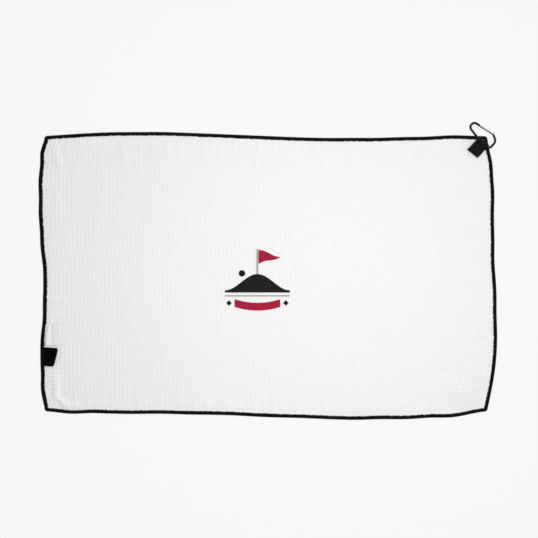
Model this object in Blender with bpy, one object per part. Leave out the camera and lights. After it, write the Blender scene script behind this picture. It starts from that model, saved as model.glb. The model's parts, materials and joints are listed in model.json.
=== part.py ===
"""Golf towel with overlocked edges, a folded webbing tab and a small spring-gate carabiner.

The towel lies flat.  The origin is the middle of the cloth's underside, +X runs along the
long side, +Y across it and +Z up out of the cloth.  All sizes are in metres.
"""
import math

import bmesh
import bpy
from mathutils import Matrix, Vector

# ---------------------------------------------------------------- driving dimensions
GAP = 0.0003                   # air between two pieces that lie against each other
PIN_CLEARANCE = 0.00015        # air round a pin in its hole

TOWEL_LENGTH = 0.610           # cloth as cut, along X
TOWEL_WIDTH = 0.380            # cloth as cut, along Y
CORNER_DRAW_X = 0.005          # how far the seams pull each corner in
CORNER_DRAW_Y = 0.003
CLOTH_THICKNESS = 0.0020
SEAM_CLOTH = 0.0006            # the cloth squeezed flat inside the overlock
EDGE_WIDTH = 0.0048            # how far the overlock reaches over the cloth
EDGE_THREAD = 0.0006           # thickness of the wrapped thread

# Each side swings out from the straight line between its corners by one, two and three half waves.
SIDE_WAVES = {
    "bottom": (0.0093, -0.0039, 0.0023),
    "right": (0.0140, 0.0015, 0.0035),
    "top": (0.0010, -0.0038, 0.0018),
    "left": (0.0073, 0.0016, 0.0043),
}
SIDE_STEPS = {"bottom": 26, "right": 18, "top": 26, "left": 18}

WEBBING_WIDTH = 0.018          # strap width
WEBBING_THICKNESS = 0.0010
TAB_REACH = 0.0202             # from the carabiner's spine to the sewn end
TAB_EASE = 2.1667              # loop radii over which the upper leaf comes down onto the lower one
TAB_ANGLE = math.radians(-43)  # the fold's direction across the towel's corner
TAB_SHIFT = 0.0                # middle of the strap along the spine
SPINE_FROM_CORNER = (-0.0058, -0.0092)
STITCH_INSET = 0.0024          # from the strap's ends and sides to its stitching
STITCH_PITCH = 0.0020
STITCH_WIDTH = 0.0006
STITCH_HEIGHT = 0.0004

ROD = 0.0032                   # carabiner rod diameter
ROD_SIDES = 14
FOOT_RADIUS = 0.0030           # bend between the spine and the wide end
SHOULDER_RADIUS = 0.0070       # bend between the wide end and the hinge arm
SPINE_BEND_RADIUS = 0.0200
NOSE_RADIUS = 0.0052
HINGE_HEIGHT = 0.0185          # gate hinge above the spine
HINGE_BACK = 0.0096            # gate hinge behind the wide end
SHOULDER_HEIGHT = 0.0132
NOSE_RUN = 0.0154              # from the spine's bend to the nose
NOSE_RISE = 0.0026
BEND_CLEAR = 0.0037            # straight rod left between the strap and the spine's bend
GATE_SLOPE = math.radians(11.4)

GATE_LENGTH = 0.0217           # from the rivet to the gate's free end
FORK_EAR = 0.0007              # each ear of the gate's two forks
RIVET = 0.0010                 # pin diameters
LATCH_PIN = 0.0008
LATCH_BACK = 0.0021            # latch pin behind the gate's free end
TONGUE_REACH = 0.0041          # how far the nose's tongue reaches into the gate
GATE_BORE = 0.0019
BORE_END = 0.0150              # bottom of the spring bore, from the rivet
PLUNGER_LENGTH = 0.0024
SPRING_WIRE = 0.00026
SPRING_TURNS = 6

SIDE_LABEL = (0.0158, 0.0252)  # reach over the cloth and width along the edge
SIDE_LABEL_Y = -0.1125
SIDE_LABEL_TURN = math.radians(-4)
CARE_LABEL = (0.0205, 0.0284)
CARE_LABEL_Y = -0.0831
LABEL_PROBES = 12              # places tested along each stretch of the overlock
LABEL_TAPE = 0.00035           # woven tape of the folded side label
CARE_TAPE = 0.0004             # satin tape of the care label

EMBLEM_CENTRE = (-0.0117, -0.0096)
EMBLEM_THREAD = 0.0004
HILL_WIDTH = 0.088
HILL_HEIGHT = 0.025
HILL_BASE = -0.016
STICK_WIDTH = 0.0024
STICK_TOP = 0.043
PENNANT_LENGTH = 0.030
PENNANT_DROP = 0.019
BALL_RADIUS = 0.0044
BALL_AT = (-0.021, 0.010)
RULE_HEIGHT = 0.0018
BAND_WIDTH = 0.062
BAND_HEIGHT = 0.0105
BAND_SAG = 0.005
DIAMOND = 0.0075

# ---------------------------------------------------------------- sizes that follow from them
TONGUE_LOW = EDGE_THREAD + GAP
TONGUE_HIGH = TONGUE_LOW + SEAM_CLOTH
LIP_HIGH = TONGUE_HIGH + GAP
EDGE_TOP = LIP_HIGH + EDGE_THREAD
COVER_LOW = max(EDGE_TOP, CLOTH_THICKNESS) + GAP

ROD_RADIUS = ROD / 2
LOOP_RADIUS = ROD_RADIUS + GAP + WEBBING_THICKNESS / 2
LOWER_LEAF = COVER_LOW + WEBBING_THICKNESS / 2
UPPER_LEAF = LOWER_LEAF + WEBBING_THICKNESS + GAP
SPINE_HEIGHT = LOWER_LEAF + LOOP_RADIUS
TAB_SLOPE = LOOP_RADIUS * TAB_EASE

FOOT_X = TAB_SHIFT + WEBBING_WIDTH / 2 + FOOT_RADIUS
BEND_X = TAB_SHIFT - WEBBING_WIDTH / 2 - BEND_CLEAR
HINGE_X = FOOT_X - HINGE_BACK
NOSE_X = BEND_X - NOSE_RUN
TILT = math.asin((SPINE_HEIGHT - ROD_RADIUS) / (HINGE_HEIGHT + ROD_RADIUS))

TANG = ROD - 2 * FORK_EAR - 2 * GAP
FORK_SLOT = TANG + 2 * GAP
FORK_DEPTH = ROD_RADIUS * math.sqrt(2) + GAP
TAPE_TOP = CLOTH_THICKNESS + GAP


# ---------------------------------------------------------------- helpers
def clear_scene():
    for thing in list(bpy.data.objects):
        bpy.data.objects.remove(thing, do_unlink=True)


def material(name, colour, roughness, metallic=0.0):
    """A Principled finish with one linear RGB colour."""
    finish = bpy.data.materials.new(name)
    finish.use_nodes = True
    shader = finish.node_tree.nodes["Principled BSDF"]
    shader.inputs["Base Color"].default_value = (*colour, 1.0)
    shader.inputs["Roughness"].default_value = roughness
    shader.inputs["Metallic"].default_value = metallic
    return finish


def frame(name, parent=None, location=(0, 0, 0), rotation=(0, 0, 0)):
    """An empty that other pieces are placed on."""
    empty = bpy.data.objects.new(name, None)
    bpy.context.scene.collection.objects.link(empty)
    empty.empty_display_size = 0.01
    empty.parent = parent
    empty.location = location
    empty.rotation_euler = rotation
    return empty


def piece(name, bm, finish, parent=None, smooth=False):
    """Turn a finished bmesh into a named object with its material."""
    bmesh.ops.recalc_face_normals(bm, faces=bm.faces[:])
    mesh = bpy.data.meshes.new(name)
    bm.to_mesh(mesh)
    bm.free()
    if smooth:
        mesh.shade_smooth()
        mesh.set_sharp_from_angle(angle=math.radians(35))
    body = bpy.data.objects.new(name, mesh)
    bpy.context.scene.collection.objects.link(body)
    body.parent = parent
    if finish:
        mesh.materials.append(finish)
    return body


def loft(rings):
    """Extrude a closed outline through a row of matching ones and close both ends."""
    bm = bmesh.new()
    corners = [bm.verts.new(point) for point in rings[0]]
    edges = [bm.edges.new(pair) for pair in zip(corners, corners[1:] + corners[:1])]
    bm.faces.new(corners)
    for ring in rings[1:]:
        grown = bmesh.ops.extrude_edge_only(bm, edges=edges)["geom"]
        fresh = {item for item in grown if isinstance(item, bmesh.types.BMVert)}
        edges = [item for item in grown if isinstance(item, bmesh.types.BMEdge)
                 and fresh.issuperset(item.verts)]
        twins = []
        for corner, point in zip(corners, ring):
            ends = [edge.other_vert(corner) for edge in corner.link_edges]
            twins.append(next(end for end in ends if end in fresh))
            twins[-1].co = point
        corners = twins
    bm.faces.new(corners)
    return bm


def plate(outline, low, high):
    """Extrude a flat outline of (x, y) points from one height to another."""
    bm = bmesh.new()
    face = bm.faces.new([bm.verts.new((x, y, low)) for x, y in outline])
    grown = bmesh.ops.extrude_face_region(bm, geom=[face])
    top = [item for item in grown["geom"] if isinstance(item, bmesh.types.BMVert)]
    bmesh.ops.translate(bm, verts=top, vec=(0, 0, high - low))
    return bm


def cylinder(radius, length, sides, turn=Matrix(), at=(0, 0, 0)):
    """A round bar along local Z, turned and then moved so that its middle is at a point."""
    bm = bmesh.new()
    place = Matrix.Translation(at) @ turn
    bmesh.ops.create_cone(bm, cap_ends=True, segments=sides, radius1=radius, radius2=radius,
                          depth=length, matrix=place)
    return bm


def block(size, at):
    """A box with its middle at a point."""
    bm = bmesh.new()
    place = Matrix.Translation(at) @ Matrix.Diagonal((*size, 1.0))
    bmesh.ops.create_cube(bm, size=1.0, matrix=place)
    return bm


def combine(body, tool_name, bm, operation, parent):
    """Add a Boolean with a hidden wire tool to a body."""
    tool = piece(tool_name, bm, None, parent)
    tool.hide_render = True
    tool.display_type = "WIRE"
    change = body.modifiers.new(tool_name, "BOOLEAN")
    change.operation = operation
    change.object = tool


def arc_points(centre, radius, start, end, steps):
    """Points on an arc, with both of its ends."""
    angles = [start + (end - start) * step / steps for step in range(steps + 1)]
    return [Vector(centre) + radius * Vector((math.cos(a), math.sin(a))) for a in angles]


def rounded_path(corners, radii, steps):
    """A flat path through corners, each inner one rounded to its radius."""
    path = [Vector(corners[0])]
    for before, corner, after, radius in zip(corners, corners[1:], corners[2:], radii):
        corner = Vector(corner)
        back = (Vector(before) - corner).normalized()
        on = (Vector(after) - corner).normalized()
        half = back.angle(on) / 2
        reach = radius / math.tan(half)
        centre = corner + (back + on).normalized() * radius / math.sin(half)
        first = corner + back * reach - centre
        last = corner + on * reach - centre
        swing = first.angle_signed(last)
        for step in range(steps + 1):
            path.append(centre + Matrix.Rotation(-swing * step / steps, 2) @ first)
    path.append(Vector(corners[-1]))
    return path


def normals_along(path):
    """The unit normal at each point of an open flat path, to the left of its direction."""
    normals = []
    for index in range(len(path)):
        ahead = path[min(index + 1, len(path) - 1)] - path[max(index - 1, 0)]
        normals.append(Vector((-ahead.y, ahead.x)).normalized())
    return normals


def ribbon(path, thickness):
    """The outline of a tape of even thickness that follows a flat path."""
    normals = normals_along(path)
    left = [point + side * thickness / 2 for point, side in zip(path, normals)]
    right = [point - side * thickness / 2 for point, side in zip(path, normals)]
    return left + right[::-1]


# ---------------------------------------------------------------- towel outline
def corner_point(name):
    """One corner of the towel's outer edge, named by its two sides."""
    x = TOWEL_LENGTH / 2 - CORNER_DRAW_X
    y = TOWEL_WIDTH / 2 - CORNER_DRAW_Y
    return Vector((x if "right" in name else -x, y if "top" in name else -y))


SIDE_ENDS = {
    "bottom": ("bottom_left", "bottom_right"),
    "right": ("bottom_right", "top_right"),
    "top": ("top_right", "top_left"),
    "left": ("top_left", "bottom_left"),
}
SIDE_ORDER = list(SIDE_ENDS)


def side_point(side, share):
    """A point on the towel's outer edge and its outward normal."""
    start = corner_point(SIDE_ENDS[side][0])
    end = corner_point(SIDE_ENDS[side][1])
    chord = end - start
    out = Vector((chord.y, -chord.x)).normalized()
    swing = 0.0
    slope = 0.0
    for count, size in enumerate(SIDE_WAVES[side], 1):
        swing += size * math.sin(count * math.pi * share)
        slope += size * count * math.pi * math.cos(count * math.pi * share)
    along = (chord + out * slope).normalized()
    return start + chord * share + out * swing, Vector((along.y, -along.x))


def mitre(side_before, side_after):
    """The inward step at a corner that keeps both sides at one inset."""
    first = side_point(side_before, 1.0)[1]
    second = side_point(side_after, 0.0)[1]
    return -(first + second) / (1 + first.dot(second))


def side_frames(side):
    """Points along one side, each with the inward step for a unit of inset."""
    place = SIDE_ORDER.index(side)
    before = SIDE_ORDER[place - 1]
    after = SIDE_ORDER[(place + 1) % len(SIDE_ORDER)]
    steps = SIDE_STEPS[side]
    rows = []
    for step in range(steps + 1):
        point, out = side_point(side, step / steps)
        rows.append((point, -out))
    rows[0] = (rows[0][0], mitre(before, side))
    rows[-1] = (rows[-1][0], mitre(side, after))
    return rows


def towel_ring(inset, height):
    """The whole outline of the towel, moved in from its edge."""
    ring = []
    for side in SIDE_ORDER:
        for point, inward in side_frames(side)[:-1]:
            ring.append((*(point + inward * inset), height))
    return ring


def label_root_x(y, width, turn):
    """Where a turned label's straight root just clears the left overlock's inner side."""
    inner = [point + inward * EDGE_WIDTH for point, inward in side_frames("left")]
    reach = []
    for upper, lower in zip(inner, inner[1:]):
        for step in range(LABEL_PROBES):
            point = upper.lerp(lower, step / LABEL_PROBES)
            if abs(point.y - y) < width / 2 + GAP:
                reach.append(point.x + (point.y - y) * math.tan(turn))
    return max(reach) + GAP


# ---------------------------------------------------------------- cloth and overlock
def make_cloth(finish):
    """The cloth, thick in the middle and squeezed thin where the overlock holds it."""
    body_inset = EDGE_WIDTH + GAP
    seam_inset = EDGE_THREAD + GAP
    steps = [
        (body_inset, 0.0),
        (body_inset, TONGUE_LOW),
        (seam_inset, TONGUE_LOW),
        (seam_inset, TONGUE_HIGH),
        (body_inset, TONGUE_HIGH),
        (body_inset, CLOTH_THICKNESS),
    ]
    piece("towel_cloth", loft([towel_ring(inset, height) for inset, height in steps]), finish)


def make_edging(side, finish):
    """One overlock run: a channel of thread round the cloth's edge, mitred at both ends."""
    profile = [
        (0.0, 0.0),
        (EDGE_WIDTH, 0.0),
        (EDGE_WIDTH, EDGE_THREAD),
        (EDGE_THREAD, EDGE_THREAD),
        (EDGE_THREAD, LIP_HIGH),
        (EDGE_WIDTH, LIP_HIGH),
        (EDGE_WIDTH, EDGE_TOP),
        (0.0, EDGE_TOP),
    ]
    rows = side_frames(side)
    rings = []
    for index, (point, inward) in enumerate(rows):
        shift = Vector((0, 0))
        if index in (0, len(rows) - 1):
            out = side_point(side, index / (len(rows) - 1))[1]
            along = Vector((-out.y, out.x))
            if index:
                along.negate()
            shift = along * (GAP / 2) / abs(along.cross(inward.normalized()))
        rings.append([(*(point + shift + inward * inset), height) for inset, height in profile])
    piece("edging_" + side, loft(rings), finish)


# ---------------------------------------------------------------- webbing tab
def make_tab(corner_frame, strap, thread):
    """One strap folded round the carabiner's spine and sewn down through both leaves."""
    path = [Vector((-TAB_REACH, LOWER_LEAF)), Vector((-TAB_REACH / 2, LOWER_LEAF))]
    path += arc_points((0, SPINE_HEIGHT), LOOP_RADIUS, -math.pi / 2, math.pi / 2, 16)
    drop = path[-1].y - UPPER_LEAF
    for step in range(1, 9):
        share = step / 8
        fall = share * share * (3 - 2 * share)
        path.append(Vector((-TAB_SLOPE * share, UPPER_LEAF + drop * (1 - fall))))
    path.append(Vector((-TAB_REACH, UPPER_LEAF)))
    outline = ribbon(path, WEBBING_THICKNESS)
    rings = []
    for side in (-1, 1):
        x = TAB_SHIFT + side * WEBBING_WIDTH / 2
        rings.append([(x, point.x, point.y) for point in outline])
    piece("webbing_tab", loft(rings), strap, corner_frame)
    make_stitch_row("tab_stitching_end", -TAB_REACH + STITCH_INSET, corner_frame, thread)
    make_stitch_row("tab_stitching_fold", -TAB_SLOPE - STITCH_INSET / 2, corner_frame, thread)


def make_stitch_row(name, y, corner_frame, thread):
    """A row of lockstitches across the strap: full in the middle of each stitch, thin between."""
    run = WEBBING_WIDTH - 2 * STITCH_INSET
    count = round(run / STITCH_PITCH)
    low = UPPER_LEAF + WEBBING_THICKNESS / 2 + GAP
    rings = []
    for step in range(2 * count + 1):
        full = 1.0 if step % 2 else 0.55
        x = TAB_SHIFT - run / 2 + run * step / (2 * count)
        half = STITCH_WIDTH / 2 * full
        top = low + STITCH_HEIGHT * full
        rings.append([(x, y - half, low), (x, y + half, low), (x, y + half, top), (x, y - half, top)])
    piece(name, loft(rings), thread, corner_frame)


# ---------------------------------------------------------------- carabiner
def gate_line(distance):
    """A point on the gate's line, measured from its rivet towards the nose."""
    direction = Vector((-math.cos(GATE_SLOPE), -math.sin(GATE_SLOPE)))
    return Vector((HINGE_X, HINGE_HEIGHT)) + direction * distance


def swept_rod(path, radius, sides):
    """A round rod along a flat path in the ring's plane."""
    rings = []
    for point, side in zip(path, normals_along(path)):
        ring = []
        for index in range(sides):
            angle = 2 * math.pi * (index + 0.5) / sides
            flat = point + side * radius * math.cos(angle)
            ring.append((flat.x, flat.y, radius * math.sin(angle)))
        rings.append(ring)
    return loft(rings)


def make_body(ring_frame, gate_seat, finish):
    """The open ring, with a tongue at the nose and a square tang at the hinge."""
    nose_distance = (HINGE_X - NOSE_X) / math.cos(GATE_SLOPE)
    corners = [
        gate_line(GATE_LENGTH + GAP - TONGUE_REACH),
        gate_line(nose_distance),
        (NOSE_X, NOSE_RISE),
        (BEND_X, 0.0),
        (FOOT_X, 0.0),
        (FOOT_X, SHOULDER_HEIGHT),
        (HINGE_X, HINGE_HEIGHT),
    ]
    radii = [NOSE_RADIUS, NOSE_RADIUS, SPINE_BEND_RADIUS, FOOT_RADIUS, SHOULDER_RADIUS]
    body = piece("carabiner_body", swept_rod(rounded_path(corners, radii, 8), ROD_RADIUS, ROD_SIDES),
                 finish, ring_frame, smooth=True)

    cheek = ROD_RADIUS
    cheek_offset = TANG / 2 + cheek / 2
    tongue_end = GATE_LENGTH + GAP
    for name, side in (("nose_cheek_upper", 1), ("nose_cheek_lower", -1)):
        middle = (tongue_end - TONGUE_REACH, 0, side * cheek_offset)
        combine(body, name, block((2 * TONGUE_REACH, 2 * ROD, cheek), middle), "DIFFERENCE", gate_seat)

    arm = Vector((FOOT_X, SHOULDER_HEIGHT)) - Vector((HINGE_X, HINGE_HEIGHT))
    arm_angle = math.atan2(arm.y, arm.x)
    arm_seat = frame("hinge_arm", ring_frame, (HINGE_X, HINGE_HEIGHT, 0), (0, 0, arm_angle))
    shoulder = ROD_RADIUS * math.sqrt(2) + GAP
    for name, side in (("tang_cheek_upper", 1), ("tang_cheek_lower", -1)):
        middle = (0, 0, side * cheek_offset)
        combine(body, name, block((2 * shoulder, 2 * ROD, cheek), middle), "DIFFERENCE", arm_seat)

    combine(body, "tang_block", block((ROD, ROD, TANG), (0, 0, 0)), "UNION", gate_seat)
    rivet_hole = cylinder(RIVET / 2 + PIN_CLEARANCE, ROD, 16)
    combine(body, "tang_hole", rivet_hole, "DIFFERENCE", gate_seat)

    latch_x = GATE_LENGTH - LATCH_BACK
    notch_width = LATCH_PIN + 2 * GAP
    notch = block((notch_width, ROD, ROD), (latch_x, ROD / 2 - notch_width / 2, 0))
    combine(body, "latch_notch", notch, "DIFFERENCE", gate_seat)


def make_gate(gate_hinge, metal):
    """The gate: a rod forked at both ends and bored for its spring."""
    lie_along_x = Matrix.Rotation(math.pi / 2, 4, "Y")
    gate = piece("carabiner_gate", cylinder(ROD_RADIUS, GATE_LENGTH, 20, lie_along_x,
                                            (GATE_LENGTH / 2, 0, 0)), metal, gate_hinge, smooth=True)
    combine(gate, "gate_knuckle", cylinder(ROD_RADIUS, ROD - 2 * GAP, 24), "UNION", gate_hinge)
    hinge_slot = block((4 * FORK_DEPTH, 2 * ROD, FORK_SLOT), (-FORK_DEPTH, 0, 0))
    combine(gate, "hinge_slot", hinge_slot, "DIFFERENCE", gate_hinge)
    nose_slot = block((2 * TONGUE_REACH, 2 * ROD, FORK_SLOT), (GATE_LENGTH, 0, 0))
    combine(gate, "nose_slot", nose_slot, "DIFFERENCE", gate_hinge)
    bore = cylinder(GATE_BORE / 2, BORE_END, 16, lie_along_x, (BORE_END / 2, 0, 0))
    combine(gate, "spring_bore", bore, "DIFFERENCE", gate_hinge)
    rivet_hole = cylinder(RIVET / 2 + PIN_CLEARANCE, 2 * ROD, 16)
    combine(gate, "rivet_hole", rivet_hole, "DIFFERENCE", gate_hinge)
    latch_hole = cylinder(LATCH_PIN / 2 + PIN_CLEARANCE, 2 * ROD, 12, at=(GATE_LENGTH - LATCH_BACK, 0, 0))
    combine(gate, "latch_hole", latch_hole, "DIFFERENCE", gate_hinge)


def make_gate_fittings(gate_seat, gate_hinge, steel):
    """The rivet, the latch pin, and the plunger and spring that push the gate shut.

    The plunger sits as far back as the tang's corner pushes it when the gate opens.
    """
    pin_length = ROD - GAP
    piece("gate_rivet", cylinder(RIVET / 2, pin_length, 16), steel, gate_seat, smooth=True)
    latch = cylinder(LATCH_PIN / 2, pin_length - GAP, 12, at=(GATE_LENGTH - LATCH_BACK, 0, 0))
    piece("gate_latch_pin", latch, steel, gate_hinge, smooth=True)

    lie_along_x = Matrix.Rotation(math.pi / 2, 4, "Y")
    start = FORK_DEPTH
    plunger = cylinder(GATE_BORE / 2 - GAP, PLUNGER_LENGTH, 14, lie_along_x,
                       (start + PLUNGER_LENGTH / 2, 0, 0))
    piece("gate_plunger", plunger, steel, gate_hinge, smooth=True)

    coil_start = start + PLUNGER_LENGTH + GAP
    coil_length = BORE_END - GAP - coil_start
    coil_radius = GATE_BORE / 2 - GAP - SPRING_WIRE / 2
    steps = SPRING_TURNS * 12
    coil = bpy.data.curves.new("gate_spring", "CURVE")
    coil.dimensions = "3D"
    coil.bevel_depth = SPRING_WIRE / 2
    coil.bevel_resolution = 1
    coil.use_fill_caps = True
    line = coil.splines.new("POLY")
    line.points.add(steps)
    for step in range(steps + 1):
        angle = 2 * math.pi * SPRING_TURNS * step / steps
        x = coil_start + SPRING_WIRE + (coil_length - 2 * SPRING_WIRE) * step / steps
        line.points[step].co = (x, coil_radius * math.cos(angle), coil_radius * math.sin(angle), 1)
    spring = bpy.data.objects.new("gate_spring", coil)
    bpy.context.scene.collection.objects.link(spring)
    spring.parent = gate_hinge
    coil.materials.append(steel)


# ---------------------------------------------------------------- labels
def make_side_label(finish):
    """A blank woven tape folded in two, both ends sewn under the overlock."""
    reach, width = SIDE_LABEL
    low = TAPE_TOP + LABEL_TAPE / 2
    fold = (LABEL_TAPE + GAP) / 2
    path = [Vector((0, low)), Vector((reach / 2, low))]
    path += arc_points((reach - fold - LABEL_TAPE / 2, low + fold), fold, -math.pi / 2, math.pi / 2, 8)
    path += [Vector((reach / 2, low + 2 * fold)), Vector((0, low + 2 * fold))]
    place_label("side_label", ribbon(path, LABEL_TAPE), width, SIDE_LABEL_Y, SIDE_LABEL_TURN, finish)


def make_care_label(finish):
    """A blank satin tape with a narrow turned-under hem at its free end."""
    reach, width = CARE_LABEL
    low = TAPE_TOP
    outline = [
        Vector((0, low)),
        Vector((reach, low)),
        Vector((reach, low + 2 * CARE_TAPE)),
        Vector((reach - 0.003, low + 2 * CARE_TAPE)),
        Vector((reach - 0.0035, low + CARE_TAPE)),
        Vector((0, low + CARE_TAPE)),
    ]
    place_label("care_label", outline, width, CARE_LABEL_Y, 0.0, finish)


def place_label(name, outline, width, y, turn, finish):
    """Hang a label on the top edge of its root, beside the left overlock."""
    high = max(point.y for point in outline if point.x < width / 4)
    hinge = frame(name + "_root", None, (label_root_x(y, width, turn), y, high), (0, 0, turn))
    rings = []
    for side in (-1, 1):
        rings.append([(point.x, side * width / 2, point.y - high) for point in outline])
    piece(name, loft(rings), finish, hinge)


# ---------------------------------------------------------------- emblem
def make_emblem(black, crimson, grey):
    """A plain golf motif in raised thread: a flag on a hill, a ball, a rule and a band."""
    centre = frame("emblem_centre", None, (*EMBLEM_CENTRE, TAPE_TOP))

    def field(name, outline, finish):
        piece(name, plate(outline, 0.0, EMBLEM_THREAD), finish, centre)

    def hill_top(x):
        rise = 0.5 + 0.5 * math.cos(2 * math.pi * x / HILL_WIDTH)
        return HILL_BASE + HILL_HEIGHT * (0.12 + 0.88 * rise)

    edge = HILL_WIDTH / 2
    crest = [(edge - HILL_WIDTH * step / 32, hill_top(edge - HILL_WIDTH * step / 32)) for step in range(33)]
    field("emblem_hill", [(-edge, HILL_BASE), (edge, HILL_BASE)] + crest, black)

    half = STICK_WIDTH / 2
    foot = hill_top(0.0) + GAP
    field("emblem_flagstick", [(-half, foot), (half, foot), (half, STICK_TOP), (-half, STICK_TOP)], grey)

    luff = half + GAP
    top = STICK_TOP - half
    upper = [(luff + PENNANT_LENGTH * share, top - PENNANT_DROP / 2 * share
              + 0.0012 * math.sin(2 * math.pi * share)) for share in (1, 0.8, 0.6, 0.4, 0.2, 0)]
    lower = [(luff + PENNANT_LENGTH * share, top - PENNANT_DROP + PENNANT_DROP / 2 * share
              + 0.0012 * math.sin(2 * math.pi * share)) for share in (0, 0.2, 0.4, 0.6, 0.8)]
    field("emblem_pennant", lower + upper, crimson)

    ball_y = max(BALL_AT[1], hill_top(BALL_AT[0] + BALL_RADIUS) + BALL_RADIUS)
    ball = arc_points((BALL_AT[0], ball_y), BALL_RADIUS, 0, 2 * math.pi, 24)[:-1]
    field("emblem_ball", ball, black)

    rule_top = HILL_BASE - 2 * RULE_HEIGHT
    rule_low = rule_top - RULE_HEIGHT
    field("emblem_rule", [(-edge, rule_low), (edge, rule_low), (edge, rule_top), (-edge, rule_top)], grey)

    band_top = rule_low - 2 * RULE_HEIGHT
    shares = [step / 12 - 1 for step in range(25)]
    lower = [(BAND_WIDTH / 2 * s, band_top - BAND_HEIGHT - BAND_SAG * (1 - s * s)) for s in shares]
    upper = [(BAND_WIDTH / 2 * s, band_top - BAND_SAG * (1 - s * s)) for s in shares[::-1]]
    field("emblem_band", lower + upper, crimson)

    for name, side in (("emblem_diamond_left", -1), ("emblem_diamond_right", 1)):
        x = side * (BAND_WIDTH / 2 + DIAMOND)
        y = band_top - BAND_HEIGHT / 2
        reach = DIAMOND / 2
        field(name, [(x - reach, y), (x, y - reach), (x + reach, y), (x, y + reach)], black)


# ---------------------------------------------------------------- assembly
def build():
    clear_scene()
    microfibre = material("white_microfibre", (0.90, 0.90, 0.89), 0.95)
    overlock = material("black_overlock_thread", (0.006, 0.006, 0.007), 0.75)
    strap = material("black_webbing", (0.012, 0.012, 0.013), 0.8)
    tape = material("black_label_tape", (0.008, 0.008, 0.009), 0.6)
    satin = material("white_satin_tape", (0.88, 0.88, 0.88), 0.45)
    rod_black = material("black_anodised_rod", (0.010, 0.010, 0.011), 0.35, 0.6)
    bright = material("bright_gate_metal", (0.80, 0.81, 0.82), 0.22, 1.0)
    steel = material("plain_steel", (0.55, 0.55, 0.56), 0.3, 1.0)
    black = material("black_embroidery", (0.010, 0.010, 0.011), 0.6)
    crimson = material("crimson_embroidery", (0.42, 0.008, 0.035), 0.6)
    grey = material("grey_embroidery", (0.38, 0.36, 0.33), 0.6)

    make_cloth(microfibre)
    for side in SIDE_ORDER:
        make_edging(side, overlock)

    corner = corner_point("top_right") + Vector(SPINE_FROM_CORNER)
    corner_frame = frame("corner_frame", None, (*corner, 0), (0, 0, TAB_ANGLE))
    make_tab(corner_frame, strap, overlock)

    ring_frame = frame("carabiner_spine", corner_frame, (0, 0, SPINE_HEIGHT), (-TILT, 0, 0))
    gate_seat = frame("gate_seat", ring_frame, (HINGE_X, HINGE_HEIGHT, 0), (0, 0, math.pi + GATE_SLOPE))
    gate_hinge = frame("gate_hinge", gate_seat)
    make_body(ring_frame, gate_seat, rod_black)
    make_gate(gate_hinge, bright)
    make_gate_fittings(gate_seat, gate_hinge, steel)

    make_side_label(tape)
    make_care_label(satin)
    make_emblem(black, crimson, grey)


build()
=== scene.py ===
# %% [markdown]
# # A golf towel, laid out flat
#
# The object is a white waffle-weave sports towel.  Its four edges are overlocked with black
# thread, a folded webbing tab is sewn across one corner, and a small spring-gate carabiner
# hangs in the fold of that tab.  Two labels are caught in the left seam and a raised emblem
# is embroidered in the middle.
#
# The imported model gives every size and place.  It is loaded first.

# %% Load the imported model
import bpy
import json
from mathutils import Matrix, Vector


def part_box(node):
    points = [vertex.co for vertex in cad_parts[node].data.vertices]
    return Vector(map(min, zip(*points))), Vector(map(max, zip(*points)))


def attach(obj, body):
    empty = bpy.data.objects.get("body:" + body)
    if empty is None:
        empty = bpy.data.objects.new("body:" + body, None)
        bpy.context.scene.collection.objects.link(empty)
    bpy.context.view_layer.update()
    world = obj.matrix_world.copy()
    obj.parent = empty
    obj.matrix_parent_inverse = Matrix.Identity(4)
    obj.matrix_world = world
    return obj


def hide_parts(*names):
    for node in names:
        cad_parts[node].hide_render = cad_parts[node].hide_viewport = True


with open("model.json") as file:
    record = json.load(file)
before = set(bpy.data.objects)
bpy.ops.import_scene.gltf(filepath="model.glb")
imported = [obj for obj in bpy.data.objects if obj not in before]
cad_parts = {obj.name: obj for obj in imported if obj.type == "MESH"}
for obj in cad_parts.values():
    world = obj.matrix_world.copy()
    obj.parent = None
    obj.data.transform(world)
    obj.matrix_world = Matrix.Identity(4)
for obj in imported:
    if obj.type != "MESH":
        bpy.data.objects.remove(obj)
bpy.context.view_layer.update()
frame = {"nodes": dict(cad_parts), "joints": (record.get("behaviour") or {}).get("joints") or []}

# %% Modules, units and a fixed seed
import bisect
import json
import math
import random

import bmesh
import bpy
from mathutils import Matrix, Vector, geometry

MM = 0.001
HAIR = 0.01 * MM
dice = random.Random(24)

# %% [markdown]
# ## Stage, light and camera
#
# The towel is seen from straight above, on a plain pale ground.  A long lens far away keeps the
# view nearly parallel, so that all four edges are seen from the same side.  The light is a
# bright sky that is strongest towards the upper right and dimmer near the horizon on the lower
# left: white cloth needs that slow change to show its relief, and bright metal needs something
# darker to reflect.  A large area light on the same side adds soft highlights.

# %% Camera
FIELD = 731 * MM               # width of ground that fills the frame
VIEW_X = 4.0 * MM              # middle of the frame
VIEW_Y = 6.3 * MM
LENS = 100.0
SENSOR = 36.0

camera_data = bpy.data.cameras.new("camera")
camera_data.lens = LENS
camera_data.sensor_width = SENSOR
camera = bpy.data.objects.new("camera", camera_data)
camera.location = (VIEW_X, VIEW_Y, FIELD * LENS / SENSOR)
bpy.context.scene.collection.objects.link(camera)
bpy.context.scene.camera = camera
bpy.context.scene.view_settings.view_transform = "Standard"
print("camera stands", round(camera.location.z, 3), "m above the towel")


# %% One small function for shader nodes, and one for colours
def add_node(tree, kind, settings=None, links=None):
    """Add a node, set its properties or input sockets by name, and link sockets to its inputs."""
    node = tree.nodes.new(kind)
    for key, value in (settings or {}).items():
        if isinstance(key, str) and hasattr(node, key):
            setattr(node, key, value)
        else:
            node.inputs[key].default_value = value
    for key, source in (links or {}).items():
        tree.links.new(source, node.inputs[key])
    return node


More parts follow.
